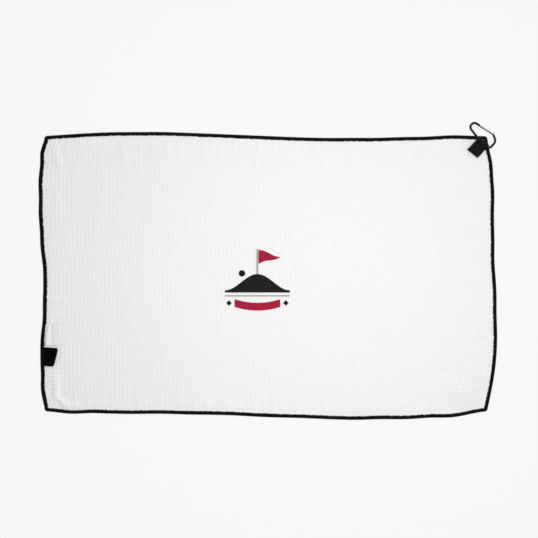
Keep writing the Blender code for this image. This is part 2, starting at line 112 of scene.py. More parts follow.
def colour(code):
    """A linear RGBA colour from an sRGB hex code."""
    parts = [int(code[place:place + 2], 16) / 255 for place in (1, 3, 5)]
    linear = [p / 12.92 if p <= 0.04045 else ((p + 0.055) / 1.055) ** 2.4 for p in parts]
    return (*linear, 1.0)


# %% Sky
SKY_TOWARDS = Vector((0.62, 0.34, 0.70)).normalized()
SKY_DIM = 0.26
SKY_BRIGHT = 0.965

world = bpy.data.worlds.new("studio_sky")
world.use_nodes = True
bpy.context.scene.world = world
sky = world.node_tree
ray = add_node(sky, "ShaderNodeTexCoord")
facing = add_node(sky, "ShaderNodeVectorMath", {"operation": "DOT_PRODUCT", 1: SKY_TOWARDS},
                  {0: ray.outputs["Generated"]})
glow = add_node(sky, "ShaderNodeMapRange", {"From Min": 0.0, "From Max": 1.0, "To Min": SKY_DIM,
                                            "To Max": SKY_BRIGHT}, {"Value": facing.outputs["Value"]})
sky.links.new(glow.outputs["Result"], sky.nodes["Background"].inputs["Strength"])
sky.nodes["Background"].inputs["Color"].default_value = colour("#FFFFFF")
print("sky runs from", SKY_DIM, "to", SKY_BRIGHT)

# %% Soft light and ground
LAMP_PLACE = Vector((0.10, 0.03, 0.65))
LAMP_SIZE = 0.42
LAMP_WATTS = 2.02

lamp_data = bpy.data.lights.new("soft_box", "AREA")
lamp_data.shape = "SQUARE"
lamp_data.size = LAMP_SIZE
lamp_data.energy = LAMP_WATTS
lamp = bpy.data.objects.new("soft_box", lamp_data)
lamp.location = LAMP_PLACE
bpy.context.scene.collection.objects.link(lamp)

# lit acrylic table: mostly its own even light, so the ground stays plain and shadows stay faint
acrylic = bpy.data.materials.new("lit_white_acrylic")
acrylic.use_nodes = True
acrylic_shader = acrylic.node_tree.nodes["Principled BSDF"]
acrylic_shader.inputs["Base Color"].default_value = colour("#606060")
acrylic_shader.inputs["Roughness"].default_value = 0.95
acrylic_shader.inputs["Specular IOR Level"].default_value = 0.0
acrylic_shader.inputs["Emission Color"].default_value = colour("#FFFFFF")
acrylic_shader.inputs["Emission Strength"].default_value = 0.83

# one profile is spun round: flat table, a wide curve, and a low wall that hides the horizon
GROUND_FLAT = 9.0
WALL_CURVE = 2.0
WALL_HEIGHT = 3.2
bm = bmesh.new()
profile = [bm.verts.new((0, 0, 0)), bm.verts.new((GROUND_FLAT, 0, 0))]
for step in range(1, 9):
    bend = math.pi / 2 * step / 8
    profile.append(bm.verts.new((GROUND_FLAT + WALL_CURVE * math.sin(bend), 0,
                                 WALL_CURVE * (1 - math.cos(bend)))))
profile.append(bm.verts.new((GROUND_FLAT + WALL_CURVE, 0, WALL_HEIGHT)))
edges = [bm.edges.new(pair) for pair in zip(profile, profile[1:])]
bmesh.ops.spin(bm, geom=profile + edges, cent=(0, 0, 0), axis=(0, 0, 1), angle=2 * math.pi, steps=64,
               use_merge=True)
bmesh.ops.remove_doubles(bm, verts=bm.verts[:], dist=0.001)
bmesh.ops.recalc_face_normals(bm, faces=bm.faces[:])
if max(bm.faces, key=lambda face: face.calc_area()).normal.z < 0:
    bmesh.ops.reverse_faces(bm, faces=bm.faces[:])
ground_mesh = bpy.data.meshes.new("ground")
bm.to_mesh(ground_mesh)
bm.free()
ground_mesh.shade_smooth()
ground_mesh.materials.append(acrylic)
ground = bpy.data.objects.new("ground", ground_mesh)
bpy.context.scene.collection.objects.link(ground)
print("ground reaches", GROUND_FLAT + WALL_CURVE, "m out")

# %% [markdown]
# ## Finishes
#
# Each finish starts from what the real material is.  Cloth and thread are rough and scatter
# light at grazing angles, which the sheen socket does.  Fine yarn is far smaller than the waffle
# cells, so it is a bump pattern, while everything that can be felt with a finger is geometry.


# %% A start for every finish
def new_finish(name, hex_code, roughness, **sockets):
    """A Principled finish with constant values on the shader's own sockets."""
    finish = bpy.data.materials.new(name)
    finish.use_nodes = True
    shader = finish.node_tree.nodes["Principled BSDF"]
    shader.inputs["Base Color"].default_value = colour(hex_code)
    shader.inputs["Roughness"].default_value = roughness
    for socket, value in sockets.items():
        shader.inputs[socket.replace("_", " ")].default_value = value
    return finish, finish.node_tree, shader


def mottle(tree, shader, size, dark, light, stretch=(1, 1, 1)):
    """Vary the base colour between two hex codes in soft patches of a real size."""
    place = add_node(tree, "ShaderNodeTexCoord")
    scaled = add_node(tree, "ShaderNodeMapping", {"Scale": stretch}, {"Vector": place.outputs["Object"]})
    cloud = add_node(tree, "ShaderNodeTexNoise", {"Scale": 1 / size, "Detail": 3.0, "Roughness": 0.6},
                     {"Vector": scaled.outputs["Vector"]})
    mix = add_node(tree, "ShaderNodeMix", {"data_type": "RGBA", 6: colour(dark), 7: colour(light)},
                   {0: cloud.outputs["Fac"]})
    tree.links.new(mix.outputs[2], shader.inputs["Base Color"])
    return scaled


def roughen(tree, shader, pattern, depth, strength=0.6):
    """Use a pattern's value as a bump of a real depth."""
    bump = add_node(tree, "ShaderNodeBump", {"Strength": strength, "Distance": depth},
                    {"Height": pattern})
    tree.links.new(bump.outputs["Normal"], shader.inputs["Normal"])
    return bump


# %% Waffle microfibre
# White split polyester: a very matt, slightly furry surface of loops about 0.5 mm across.
FIBRE = 0.5 * MM
microfibre, tree, shader = new_finish("white_waffle_microfibre", "#F1F1F0", 0.92, Sheen_Weight=0.25,
                                      Sheen_Roughness=0.6, Specular_IOR_Level=0.15)
spread = mottle(tree, shader, 9 * MM, "#EFEFEE", "#F4F4F4")
loops = add_node(tree, "ShaderNodeTexVoronoi", {"Scale": 1 / FIBRE, "Randomness": 0.9},
                 {"Vector": spread.outputs["Vector"]})
fuzz = add_node(tree, "ShaderNodeTexNoise", {"Scale": 1 / (2.2 * FIBRE), "Detail": 4.0},
                {"Vector": spread.outputs["Vector"]})
pile = add_node(tree, "ShaderNodeMath", {"operation": "ADD"},
                {0: loops.outputs["Distance"], 1: fuzz.outputs["Fac"]})
roughen(tree, shader, pile.outputs["Value"], 0.15 * MM, 0.5)

# %% Black overlock thread
# Textured polyester: bulky crimped filaments, matt black with a greyish bloom.
thread_finish, tree, shader = new_finish("black_textured_polyester", "#0B0B0C", 0.75, Sheen_Weight=0.01,
                                         Sheen_Roughness=0.5, Specular_IOR_Level=0.08)
spread = mottle(tree, shader, 1.2 * MM, "#060607", "#121213")
crimp = add_node(tree, "ShaderNodeTexNoise", {"Scale": 1 / (0.35 * MM), "Detail": 3.0},
                 {"Vector": spread.outputs["Vector"]})
roughen(tree, shader, crimp.outputs["Fac"], 0.1 * MM, 0.7)

# %% Black webbing
# Plain-woven polyester strap: tight flat yarns that catch a little more light than thread.
WARP_PITCH = 0.9 * MM
WEFT_PITCH = 1.24 * MM
tab_axis = Vector(frame["joints"][0]["axis"])
tab_turn = -math.atan2(tab_axis.y, tab_axis.x)
webbing_finish, tree, shader = new_finish("black_polyester_webbing", "#0D0D0E", 0.55, Sheen_Weight=0.01,
                                          Sheen_Roughness=0.4, Specular_IOR_Level=0.11)
spread = mottle(tree, shader, 2.5 * MM, "#080809", "#111112")
spread.inputs["Rotation"].default_value = (0, 0, tab_turn)
warp = add_node(tree, "ShaderNodeTexWave", {"bands_direction": "X", "Scale": 0.314 / WARP_PITCH,
                                            "Distortion": 0.4}, {"Vector": spread.outputs["Vector"]})
weft = add_node(tree, "ShaderNodeTexWave", {"bands_direction": "Y", "Scale": 0.314 / WEFT_PITCH,
                                            "Distortion": 0.4}, {"Vector": spread.outputs["Vector"]})
weave = add_node(tree, "ShaderNodeMath", {"operation": "MULTIPLY"},
                 {0: warp.outputs["Fac"], 1: weft.outputs["Fac"]})
roughen(tree, shader, weave.outputs["Value"], 0.25 * MM, 0.8)

# %% Black woven label tape
# Damask: fine even filaments in a twill, so the surface is smooth with a soft silky shine.
TWILL = 0.45 * MM
damask, tree, shader = new_finish("black_damask_tape", "#050505", 0.5, Sheen_Weight=0.002,
                                  Sheen_Roughness=0.4, Specular_IOR_Level=0.03)
spread = mottle(tree, shader, 3 * MM, "#030304", "#070708")
twill = add_node(tree, "ShaderNodeTexWave", {"bands_direction": "DIAGONAL", "Scale": 0.32 / TWILL,
                                             "Distortion": 0.3}, {"Vector": spread.outputs["Vector"]})
roughen(tree, shader, twill.outputs["Fac"], 0.05 * MM, 0.5)

# %% White satin tape
# Satin ribbon: long floating filaments across the tape give it a bright, one-way shine.
satin, tree, shader = new_finish("white_satin_ribbon", "#EBEBEB", 0.42, Sheen_Weight=0.05,
                                 Sheen_Roughness=0.3, Specular_IOR_Level=0.35)
spread = mottle(tree, shader, 4 * MM, "#E8E8E8", "#EEEEEE")
floats = add_node(tree, "ShaderNodeTexWave", {"bands_direction": "X", "Scale": 0.32 / (0.4 * MM),
                                              "Distortion": 0.5}, {"Vector": spread.outputs["Vector"]})
roughen(tree, shader, floats.outputs["Fac"], 0.04 * MM, 0.4)


# %% Embroidery threads
# Rayon: bright filaments laid side by side, so each colour has a clear satin shine.
def rayon(name, hex_code, dark, light):
    """A rayon thread finish with slight colour changes from stitch to stitch."""
    finish, tree, shader = new_finish(name, hex_code, 0.42, Sheen_Weight=0.01, Sheen_Roughness=0.3,
                                      Specular_IOR_Level=0.08)
    mottle(tree, shader, 0.8 * MM, dark, light, (1, 0.12, 1))
    return finish


black_rayon = rayon("black_rayon_thread", "#0B0B0C", "#070708", "#111113")
crimson_rayon = rayon("crimson_rayon_thread", "#A81238", "#920D30", "#B5173F")
grey_rayon = rayon("warm_grey_rayon_thread", "#A9A49C", "#9A958D", "#B8B3AB")

# %% Carabiner metals
# Black anodised aluminium: a hard dyed oxide skin, dark, with a satin highlight.
anodised, tree, shader = new_finish("black_anodised_aluminium", "#0E0E0F", 0.32, Metallic=0.3,
                                    Specular_IOR_Level=0.3, Coat_Weight=0.05, Coat_Roughness=0.3)
spread = mottle(tree, shader, 2 * MM, "#0A0A0B", "#141415")
grit = add_node(tree, "ShaderNodeTexNoise", {"Scale": 1 / (0.3 * MM), "Detail": 2.0},
                {"Vector": spread.outputs["Vector"]})
roughen(tree, shader, grit.outputs["Fac"], 0.02 * MM, 0.3)

# Bright drawn aluminium: left bare, with fine draw lines along the rod.
# A band of painted shade darkens the gate along the side that faces the spine and up.
SHADE_HALF_ANGLE = math.radians(36)
ROD_RADIUS = 1.6 * MM           # body and gate alike
rivet_low, rivet_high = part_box("gate_rivet")
latch_low, latch_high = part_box("gate_latch_pin")
gate_start = (rivet_low + rivet_high) / 2
gate_way = ((latch_low + latch_high) / 2 - gate_start).normalized()
towards_spine = Vector(frame["joints"][0]["pos_m"]) - gate_start
towards_spine = (towards_spine - gate_way * towards_spine.dot(gate_way)).normalized()
gate_up = Vector(frame["joints"][1]["axis"]).normalized()
shade_way = (towards_spine + gate_up * 0.8).normalized()
drawn, tree, shader = new_finish("bright_drawn_aluminium", "#E6E7E8", 0.2, Metallic=1.0)
spread = mottle(tree, shader, 1.5 * MM, "#DADBDD", "#EEEFF0")
bright = shader.inputs["Base Color"].links[0].from_socket
place = add_node(tree, "ShaderNodeTexCoord")
from_axis = add_node(tree, "ShaderNodeVectorMath", {"operation": "SUBTRACT", 1: gate_start},
                     {0: place.outputs["Object"]})
out = add_node(tree, "ShaderNodeVectorMath", {"operation": "DOT_PRODUCT", 1: shade_way},
               {0: from_axis.outputs["Vector"]})
shade_band_from = ROD_RADIUS * math.cos(SHADE_HALF_ANGLE)
painted_shade_band = add_node(tree, "ShaderNodeMapRange", {"From Min": shade_band_from, "From Max": shade_band_from + 0.05 * MM},
                {"Value": out.outputs["Value"]})
# painted shade: the dark colour that the band along the gate takes
painted_shade_mix = add_node(tree, "ShaderNodeMix", {"data_type": "RGBA", 7: colour("#2A2A2C")},
                {0: painted_shade_band.outputs["Result"], 6: bright})
tree.links.new(painted_shade_mix.outputs[2], shader.inputs["Base Color"])

# Plain steel: pins, plunger and spring wire, cut from bright wire.
steel, tree, shader = new_finish("bright_steel_wire", "#B9BABC", 0.28, Metallic=1.0)
mottle(tree, shader, 1 * MM, "#A9AAAC", "#C8C9CB")

for node, finish in (("carabiner_body", anodised), ("carabiner_gate", drawn), ("gate_rivet", steel),
                     ("gate_latch_pin", steel), ("gate_plunger", steel), ("gate_spring", steel)):
    carried = frame["nodes"][node]
    carried.data.materials.clear()
    carried.data.materials.append(finish)
print("finishes:", len(bpy.data.materials))

# %% [markdown]
# ## How a piece is finished
#
# Every new piece ends the same way: its normals face out, it is shaded smooth apart from sharp
# edges, it takes a finish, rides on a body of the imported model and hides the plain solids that
# it stands for.  Its object stays at the origin and its place is in its mesh.  An open sheet has
# no outside, so the cloth is marked as not closed and its normals are left as its grid made them.


# %% Finish a piece
def finish_piece(name, bm, finish, slot, body, *nodes, sharp=50, closed=True):
    """Turn a bmesh into a named piece that rides on a body and replaces some nodes."""
    if closed:
        bmesh.ops.recalc_face_normals(bm, faces=bm.faces[:])
    mesh = bpy.data.meshes.new(name)
    bm.to_mesh(mesh)
    bm.free()
    mesh.shade_smooth()
    mesh.set_sharp_from_angle(angle=math.radians(sharp))
    mesh.materials.append(finish)
    made = bpy.data.objects.new(name, mesh)
    bpy.context.scene.collection.objects.link(made)
    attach(made, body)
    if nodes:
        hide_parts(*nodes)
    print(name, "has", len(mesh.polygons), "faces")
    return made


def sweep(bm, places):
    """Extrude a ring through a row of placed copies of itself and close both ends.

    The bmesh holds one ring, about 1 in radius, and each place is the matrix for one copy of it.
    """
    verts = bm.verts[:]
    edges = bm.edges[:]
    bmesh.ops.transform(bm, matrix=places[0], verts=verts)
    for before, after in zip(places, places[1:]):
        grown = bmesh.ops.extrude_edge_only(bm, edges=edges)["geom"]
        verts = [item for item in grown if isinstance(item, bmesh.types.BMVert)]
        edges = [item for item in grown if isinstance(item, bmesh.types.BMEdge)
                 and all(end in verts for end in item.verts)]
        bmesh.ops.transform(bm, matrix=after @ before.inverted(), verts=verts)
    bmesh.ops.holes_fill(bm, edges=[edge for edge in bm.edges if edge.is_boundary], sides=0)
    return bm


def round_ring(corners):
    """A bmesh with one ring of radius 1 round local Z."""
    bm = bmesh.new()
    bmesh.ops.create_circle(bm, segments=corners, radius=1.0)
    return bm


def placed(centre, ahead, across, half_width, half_height):
    """The matrix that puts a ring at a point, facing ahead, with its width along across."""
    ahead = ahead.normalized()
    side = (across - ahead * across.dot(ahead)).normalized()
    up = ahead.cross(side)
    turn = Matrix((side, up, ahead)).transposed().to_4x4()
    return Matrix.Translation(centre) @ turn @ Matrix.Diagonal((half_width, half_height, 1.0, 1.0))


# %% [markdown]
# ## The towel's outline
#
# The towel is not a true rectangle: sewing draws its corners in and lets each side swing in and
# out a little.  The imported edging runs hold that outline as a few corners, and a smooth curve is
# laid through them with Blender's own Bezier interpolation.  A few soft swells are then added.


# %% Read each side from its edging run
def outer_corners(node, along, outward):
    """The outer corners of an edging run in order, as (x, y) points."""
    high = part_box(node)[1]
    top = [v.co for v in frame["nodes"][node].data.vertices if v.co.z > high.z - HAIR]
    spots = sorted({(round(p[along], 5), round(p[1 - along], 5)) for p in top})
    outer = [max(pair, key=lambda spot: outward * spot[1]) for pair in zip(spots[0::2], spots[1::2])]
    return [Vector(spot if along == 0 else spot[::-1]) for spot in outer]


sides = {
    "bottom": outer_corners("edging_bottom", 0, -1),
    "top": outer_corners("edging_top", 0, 1),
    "left": outer_corners("edging_left", 1, -1),
    "right": outer_corners("edging_right", 1, 1),
}
for level, end_of_upright in (("bottom", 0), ("top", -1)):
    for upright, end_of_level in (("left", 0), ("right", -1)):
        corner = Vector((sides[upright][end_of_upright].x, sides[level][end_of_level].y))
        sides[upright][end_of_upright] = corner
        sides[level][end_of_level] = corner
print("corners read:", {side: len(points) for side, points in sides.items()})


# %% Smooth lines
def smooth_line(knots, steps=12):
    """Points on a smooth curve through the knots, with the distance run at each."""
    ends = [2 * knots[0] - knots[1], *knots, 2 * knots[-1] - knots[-2]]
    points = [knots[0]]
    for before, start, end, after in zip(ends, ends[1:], ends[2:], ends[3:]):
        leave = start + (end - before) / 6
        arrive = end - (after - start) / 6
        points += geometry.interpolate_bezier(start, leave, arrive, end, steps + 1)[1:]
    points = [Vector(point[:2]) for point in points]
    run = [0.0]
    for before, after in zip(points, points[1:]):
        run.append(run[-1] + (after - before).length)
    return points, run


# A hem under thread tension swings out between its tight places.  Each swing is one soft swell:
# its middle along the side, its half length, and how far it stands out (in, below 0), all in mm.
SWELLS = {
    "left": [(-160, 28, 2.0), (-62, 30, -1.2), (35, 30, 1.3), (103, 26, -1.2), (165, 20, 2.4)],
    "right": [(-20, 45, 1.6), (78, 40, -1.3), (150, 24, 1.2)],
    "bottom": [(-266, 34, 2.0), (-145, 50, -0.8), (0, 60, 1.1), (155, 42, -1.1), (255, 40, 2.6)],
    "top": [(-175, 45, -0.4), (-10, 110, 1.0), (150, 40, -0.5), (255, 45, 1.4)],
}


def swung(side, line):
    """A side's smooth line with its swing added."""
    points, run = line
    along = 1 if side in ("left", "right") else 0
    outward = 1 if side in ("right", "top") else -1
    moved = []
    for point in points:
        shift = 0.0
        for middle, half_length, size in SWELLS[side]:
            away = (point[along] / MM - middle) / half_length
            if abs(away) < 1:
                shift += outward * size * MM * (0.5 + 0.5 * math.cos(math.pi * away))
        moved.append(point + (Vector((shift, 0)) if along else Vector((0, shift))))
    run = [0.0]
    for before, after in zip(moved, moved[1:]):
        run.append(run[-1] + (after - before).length)
    return moved, run


def along_line(line, distance):
    """The point at a distance along a smooth line, and the line's direction there."""
    points, run = line
    place = min(max(bisect.bisect_right(run, distance), 1), len(run) - 1)
    span = points[place] - points[place - 1]
    share = (distance - run[place - 1]) / (run[place] - run[place - 1])
    return points[place - 1] + span * share, span.normalized()


lines = {side: swung(side, smooth_line(knots)) for side, knots in sides.items()}
print("sides in mm:", {side: round(line[1][-1] / MM, 1) for side, line in lines.items()})


# %% Rounded corners
CORNER_ROUND = 4.6 * MM
CORNERS = [                    # level side, upright side, and which end of each
    ("bottom", "left", 0, 0),
    ("bottom", "right", -1, 0),
    ("top", "left", 0, -1),
    ("top", "right", -1, -1),
]
rounds = []
for level, upright, level_end, upright_end in CORNERS:
    corner = sides[level][level_end]
    reach = {}
    for side, end in ((level, level_end), (upright, upright_end)):
        length = lines[side][1][-1]
        inside = along_line(lines[side], 9 * MM if end == 0 else length - 9 * MM)[0]
        reach[side] = (corner - inside).normalized()
    level_in = -(reach[upright] - reach[level] * reach[upright].dot(reach[level])).normalized()
    upright_in = -(reach[level] - reach[upright] * reach[upright].dot(reach[level])).normalized()
    centre = corner + (level_in + upright_in) * CORNER_ROUND / (1 + level_in.dot(upright_in))
    rounds.append((centre, -level_in, -upright_in, level, upright))
    print("corner", level, upright, "turns", round(math.degrees(level_in.angle(upright_in))), "degrees")


def rounded(point, inset):
    """A point of the sheet, drawn in where it would stand out of a rounded corner."""
    for centre, level_out, upright_out, level, upright in rounds:
        offset = point - centre
        far = offset.length
        if offset.dot(level_out) > 0 and offset.dot(upright_out) > 0 and far > CORNER_ROUND - inset:
            if far < 3 * CORNER_ROUND:
                return centre + offset * (CORNER_ROUND - inset) / far
    return point


def towel_point(u, v):
    """The point at shares u and v of the towel: a Coons patch between its four curved sides."""
    low = along_line(lines["bottom"], u * lines["bottom"][1][-1])[0]
    high = along_line(lines["top"], u * lines["top"][1][-1])[0]
    left = along_line(lines["left"], v * lines["left"][1][-1])[0]
    right = along_line(lines["right"], v * lines["right"][1][-1])[0]
    ends = [(1 - u) * (1 - v) * sides["bottom"][0], u * (1 - v) * sides["bottom"][-1],
            (1 - u) * v * sides["top"][0], u * v * sides["top"][-1]]
    return (1 - v) * low + v * high + (1 - u) * left + u * right - sum(ends, Vector((0, 0)))


# %% [markdown]
# ## How the cloth lies
#
# A laid towel is never quite flat.  The tight seam puckers its edges, the corners curl a little,
# and a folded towel keeps a crease or two.  A cloth simulation would give random folds of its
# own; here the relief is under three millimetres and has known places, so each rise is listed
# as a soft ridge with a length, a width and a turn.  Every soft piece reads the same
# height, so that seam, emblem and cloth rise together.

# %% Ridges in the cloth
# middle x and y, half length, half width, height (all mm) and turn (degrees)
RIDGES = [
    (-287, 8.5, 15, 2.6, 0.8, 2),          # crease that runs in from the left seam
    (-289, 1.0, 13, 2.4, 0.5, -1),
    (-286, -144, 15, 4.0, 1.8, 89),        # swelling that curls round the lower left corner
    (-285, -162, 11, 4.0, 2.5, 78),
    (-277, -174, 9, 4.0, 2.7, 135),
    (-262, -180, 9, 4.0, 1.1, 168),
    (-255, -150, 24, 9.0, 0.7, 60),
    (-277.5, -113, 12, 3.2, 0.7, 88),      # cloth pushed up beside the folded label
    (-284, 158, 20, 5.5, 1.3, 104),        # and beside the upper left corner
    (-270, 163, 14, 4.0, 0.7, 98),
    (-258, 146, 20, 6.0, 0.5, 75),
    (-193, 160, 13, 4.5, 1.0, 93),         # short folds under the top seam
    (-147, 163, 11, 4.0, 0.7, 88),
    (118, 163, 11, 4.0, 0.7, 92),
    (262, 128, 26, 12.0, 1.2, 40),         # the tab's pull
    (-284, 104, 11, 4.0, 0.9, 95),         # and folds along the left seam
    (-281, 78, 12, 5.0, 0.5, 84),
    (262, -158, 16, 3.2, 1.3, 68),         # gathers that curve towards the lower right corner
    (271, -162, 14, 3.3, 2.4, 72),
    (293, -143, 9, 2.4, 1.4, 84),
    (286, -157, 15, 3.2, 2.7, 68),
    (280, -174, 7, 2.3, 0.8, 50),
    (-14, 152, 12, 3.2, 0.7, 92),          # short puckers under the top seam
    (-22, 158, 9, 2.6, 0.4, 88),
    (152, 160, 10, 3.0, 0.5, 95),
    (284, -20, 14, 3.5, 0.5, 70),          # small dents along the right seam
    (272, -48, 9, 3.0, 0.5, 60),
]
CURLS = [(-300, 187, 17, 1.5), (-300, -187, 17, 1.7), (300, -187, 15, 1.2)]   # x, y, radius, height
PUCKER_GAP = 15.0              # mean distance between small puckers along a seam
BED = 0.6 * MM                 # the middle lies this much above the seams' lowest places
BED_RUN = 22 * MM
SEAM_HOLD = 4.2 * MM           # the overlock holds the cloth flat this far in
SEAM_WAVE = 0.28 * MM          # the seam itself rises and falls slowly
WAVE_X = 21 * MM
WAVE_Y = 26 * MM
QUIET_SPOTS = [                # the tab and the label roots lie flat: centre and radius
    (Vector(frame["joints"][0]["pos_m"][:2]), 34 * MM),
    (Vector(frame["joints"][2]["pos_m"][:2]), 26 * MM),
    (Vector(frame["joints"][3]["pos_m"][:2]), 24 * MM),
]


def seam_puckers(low, high, place, upright):
    """Small ridges that run in from a seam between two places along it."""
    puckers = []
    spot = low
    while spot < high:
        size = dice.uniform(0.25, 0.75)
        reach = dice.uniform(7, 13)
        turn = dice.uniform(-14, 14) + (90 if upright else 0)
        x, y = (spot, place) if upright else (place, spot)
        puckers.append((x, y, reach, dice.uniform(2.2, 3.6), size, turn))
        spot += PUCKER_GAP * dice.uniform(0.6, 1.4)
    return puckers


small = seam_puckers(-270, 255, -176, True) + seam_puckers(-270, 240, 172, True)
small += seam_puckers(-140, 150, -290, False) + seam_puckers(-110, 130, 296, False)
ridges = []
for x, y, half_length, half_width, height, turn in RIDGES + small:
    way = Vector((math.cos(math.radians(turn)), math.sin(math.radians(turn))))
    ridges.append((Vector((x, y)) * MM, way, half_length * MM, half_width * MM, height * MM))
print("ridges:", len(ridges))


def ease(value):
    """A smooth step from 0 to 1."""
    value = min(max(value, 0.0), 1.0)
    return value * value * (3 - 2 * value)


def side_place(side, point):
    """How far out a side stands, level with a point."""
    along = 1 if side in ("left", "right") else 0
    first, last = sides[side][0][along], sides[side][-1][along]
    share = min(max((point[along] - first) / (last - first), 0.0), 1.0)
    return along_line(lines[side], share * lines[side][1][-1])[0][1 - along]


def seam_distance(point):
    """How far a point is from the nearest side of the towel."""
    return max(min(point.x - side_place("left", point), side_place("right", point) - point.x,
                   point.y - side_place("bottom", point), side_place("top", point) - point.y), 0.0)


def lift(point):
    """Height of the cloth's underside above the ground."""
    inside = seam_distance(point)
    height = 0.0
    for centre, way, half_length, half_width, rise in ridges:
        offset = point - centre
        along = offset.dot(way) / half_length
        if abs(along) > 2.6:
            continue
        across = (offset.x * way.y - offset.y * way.x) / half_width
        if abs(across) < 3:
            height += rise * math.exp(-along * along - across * across)
    height *= ease((inside - SEAM_HOLD) / SEAM_HOLD)
    height += BED * (1 - math.exp(-inside / BED_RUN))
    wave = 1 + math.sin(point.x / WAVE_X + 1.7 * math.sin(point.y / WAVE_Y))
    height += SEAM_WAVE * wave * math.exp(-inside / BED_RUN)
    for x, y, radius, rise in CURLS:
        away = (point - Vector((x, y)) * MM).length / (radius * MM)
        height += rise * MM * math.exp(-away * away)
    for centre, radius in QUIET_SPOTS:
        height *= ease((point - centre).length / radius - 0.5)
    return height


# %% [markdown]
# ## Waffle cloth
#
# Waffle weave makes a grid of square cells: yarns that float on top form ridges round each cell,
# and the middle sinks.  Each cell is one face of a grid.  An inset makes the slope under the
# ridge and a poke pulls the middle down, so a cell is eight small faces that catch the light as
# the real one does.  The flat sheet is then laid into the towel's curved outline, pressed thin
# where the overlock holds it, and given its thickness with Solidify.

# %% Waffle cells
CELL = 5.6 * MM
RIDGE_TOP = 2.0 * MM
SLOPE_WIDTH = 1.05 * MM
SLOPE_DEPTH = 0.42 * MM
CELL_DEPTH = 0.18 * MM         # from the slope's foot to the middle of the cell
CLOTH_WALL = 0.85 * MM
SEAM_TOP = 1.55 * MM           # top of the cloth inside the overlock
SEAM_INSET = 0.9 * MM
PRESS_START = 3.6 * MM
PRESS_END = 8.5 * MM
CLOTH_LENGTH = 610 * MM        # as cut
CLOTH_WIDTH = 380 * MM

cells_long = round(CLOTH_LENGTH / CELL)
cells_wide = round(CLOTH_WIDTH / CELL)
cloth = bmesh.new()
bmesh.ops.create_grid(cloth, x_segments=cells_long, y_segments=cells_wide, size=0.5)
bmesh.ops.scale(cloth, verts=cloth.verts[:], vec=(CLOTH_LENGTH, CLOTH_WIDTH, 1))
cells = cloth.faces[:]
bmesh.ops.inset_individual(cloth, faces=cells, thickness=SLOPE_WIDTH, depth=-SLOPE_DEPTH,
                           use_even_offset=True)
bmesh.ops.poke(cloth, faces=cells, offset=-CELL_DEPTH)
print("waffle cells:", cells_long, "by", cells_wide)

# %% Finer faces on the steep folds
# A steep fold is narrower than a cell, so the faces on it are divided to let it bend smoothly.
STEEP = 1.25 * MM
FOLD_MARGIN = 3.0 * MM
steep_folds = [ridge for ridge in ridges if ridge[4] >= STEEP]


def on_steep_fold(point):
    """Whether a point of the flat sheet lies on or beside a steep fold."""
    for centre, way, half_length, half_width, rise in steep_folds:
        offset = point - centre
        across = offset.x * way.y - offset.y * way.x
        if abs(offset.dot(way)) < 1.5 * half_length and abs(across) < half_width + FOLD_MARGIN:
            return True
    return False


fine = [edge for edge in cloth.edges if on_steep_fold((edge.verts[0].co + edge.verts[1].co).xy / 2)]
bmesh.ops.subdivide_edges(cloth, edges=fine, cuts=1, use_grid_fill=True)
print("edges divided on", len(steep_folds), "steep folds:", len(fine))

# %% Lay the sheet into its outline
YARN_JITTER = 0.10 * MM
for vert in cloth.verts:
    u = vert.co.x / CLOTH_LENGTH + 0.5
    v = vert.co.y / CLOTH_WIDTH + 0.5
    inset = min(u * CLOTH_LENGTH, (1 - u) * CLOTH_LENGTH, v * CLOTH_WIDTH, (1 - v) * CLOTH_WIDTH)
    full = ease((inset - PRESS_START) / (PRESS_END - PRESS_START))
    u = 0.5 + (u - 0.5) * (1 - 2 * SEAM_INSET / CLOTH_LENGTH)
    v = 0.5 + (v - 0.5) * (1 - 2 * SEAM_INSET / CLOTH_WIDTH)
    spot = rounded(towel_point(u, v), SEAM_INSET)
    top = SEAM_TOP + (RIDGE_TOP + vert.co.z - SEAM_TOP) * full
    wander = YARN_JITTER * full
    vert.co = (spot.x + dice.uniform(-wander, wander), spot.y + dice.uniform(-wander, wander),
               top + lift(spot) + dice.uniform(-wander, wander) * 0.6)
waffle_cloth = finish_piece("waffle_cloth", cloth, microfibre, "waffle_microfibre", "towel",
                            "towel_cloth", sharp=180, closed=False)
wall = waffle_cloth.modifiers.new("cloth_wall", "SOLIDIFY")
wall.thickness = CLOTH_WALL
wall.offset = -1.0

# %% [markdown]
# ## Overlocked edges
#
# An overlock stitch wraps loops of thread round the raw edge, one beside the next, with a line of
# needle thread along the inner side.  One loop is swept once as a small closed thread, and copies
# of it are set along each side with slight changes, so that the inner ends are uneven and let
# specks of white cloth through.

# %% One loop of overlock thread
LOOP_PITCH = 0.95 * MM
LOOP_HALF_WIDTH = 0.60 * MM    # a little over half the pitch, so that the loops touch
LOOP_HALF_HEIGHT = 0.28 * MM
LOOP_SLANT = 0.7 * MM          # how far a loop leans along the seam
EDGE_WIDTH = 5.4 * MM
LEFT_WIDER = 1.12              # the left seam is sewn a little wider
CORNER_START = 0.72 * CORNER_ROUND   # the straight run of loops starts this far from a corner
# distance in from the edge, height, share of full thickness
LOOP_PATH = [
    (EDGE_WIDTH, 1.75 * MM, 0.55),
    (0.86 * EDGE_WIDTH, 2.08 * MM, 0.95),
    (0.60 * EDGE_WIDTH, 2.14 * MM, 1.0),
    (0.25 * EDGE_WIDTH, 2.02 * MM, 1.0),
    (0.08 * EDGE_WIDTH, 1.50 * MM, 1.0),
    (0.08 * EDGE_WIDTH, 0.85 * MM, 1.0),
    (0.25 * EDGE_WIDTH, 0.36 * MM, 1.0),
    (0.90 * EDGE_WIDTH, 0.34 * MM, 0.6),
]


